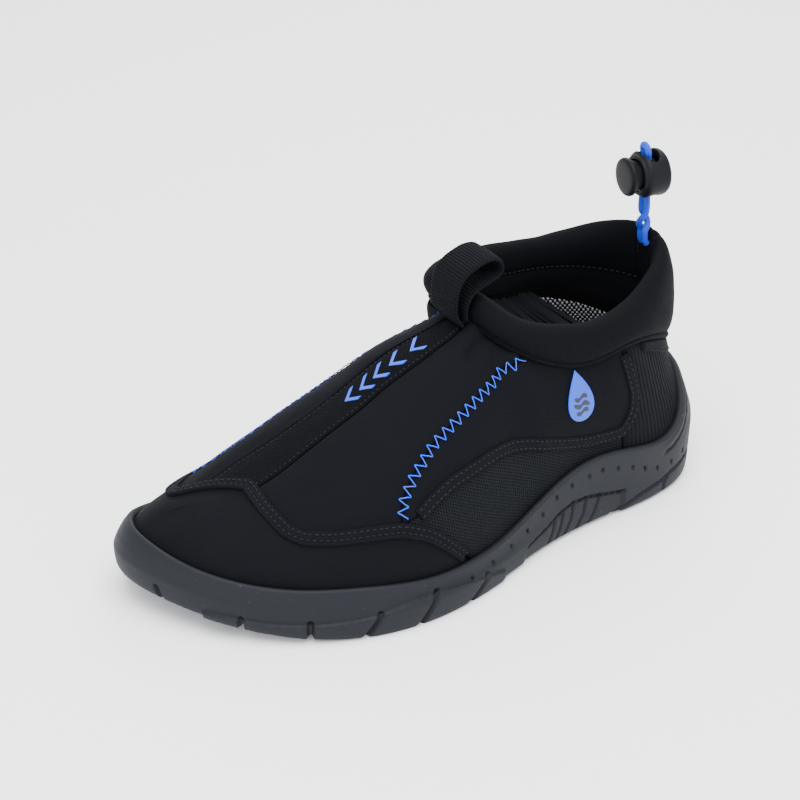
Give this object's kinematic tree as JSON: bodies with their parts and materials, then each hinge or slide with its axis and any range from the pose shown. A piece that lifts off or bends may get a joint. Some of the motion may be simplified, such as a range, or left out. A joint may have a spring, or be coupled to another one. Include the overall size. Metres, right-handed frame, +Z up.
{
  "type": "water shoe",
  "caption": "Low-cut slip-on water shoe for a left foot with rubber cup sole, panelled stretch upper, padded collar, heel drawcord with spring cord lock and a front pull loop.",
  "frame": {"origin": "on the ground, under the middle of the shoe's own bounding box, measured without the cord and cord lock", "axes": "+Z up, +Y towards the heel, toe towards -Y, +X towards the outer (lateral) side"},
  "size_m": [0.0992, 0.2312, 0.1311],
  "materials": {
    "sole_rubber": "matte moulded",
    "board": "non-woven",
    "footbed_textile": "dotted woven mesh",
    "neoprene": "smooth stretch jersey on foam",
    "elastic_tape": "woven elastic",
    "mesh": "fine mesh",
    "ribbed_textile": "ribbed stretch",
    "binding": "double-stitched tape",
    "collar_textile": "padded jersey",
    "webbing": "ribbed webbing",
    "badge": "satin print",
    "cord": "braided elastic",
    "lock_plastic": "fine textured",
    "button_plastic": "fine textured"
  },
  "bodies": {
    "shoe": {"outsole": "sole_rubber", "strobel_board": "board", "footbed": "footbed_textile", "toe_cap": "neoprene", "vamp_lateral": "neoprene", "vamp_medial": "neoprene", "instep_strip": "elastic_tape", "quarter_lateral": "neoprene", "quarter_medial": "neoprene", "mesh_lateral": "mesh", "mesh_medial": "mesh", "heel_panel": "ribbed_textile", "toe_cap_binding": "binding", "quarter_binding_lateral": "binding", "quarter_binding_medial": "binding", "heel_overlay": "binding", "collar": "collar_textile", "pull_loop": "webbing", "badge_lateral": "badge", "badge_medial": "badge"},
    "cord_tail": {"drawcord": "cord"},
    "cord_lock": {"cord_lock_barrel": "lock_plastic"},
    "lock_button": {"cord_lock_button": "button_plastic"}
  },
  "joints": [
    {"name": "cord_flop", "type": "hinge", "parent": "shoe", "child": "cord_tail", "pos_m": [0.00504, 0.09784, 0.092], "axis": [1, 0, 0], "range_deg": [0, 60]},
    {"name": "lock_slide", "type": "slide", "parent": "cord_tail", "child": "cord_lock", "axis": [0, 0, 1], "range_m": [-0.005, 0]},
    {"name": "button_press", "type": "slide", "parent": "cord_lock", "child": "lock_button", "axis": [0.225, 0.9744, 0], "range_m": [0, 0.0024], "stiffness_N_per_m": 300, "springref_m": -0.002}
  ]
}
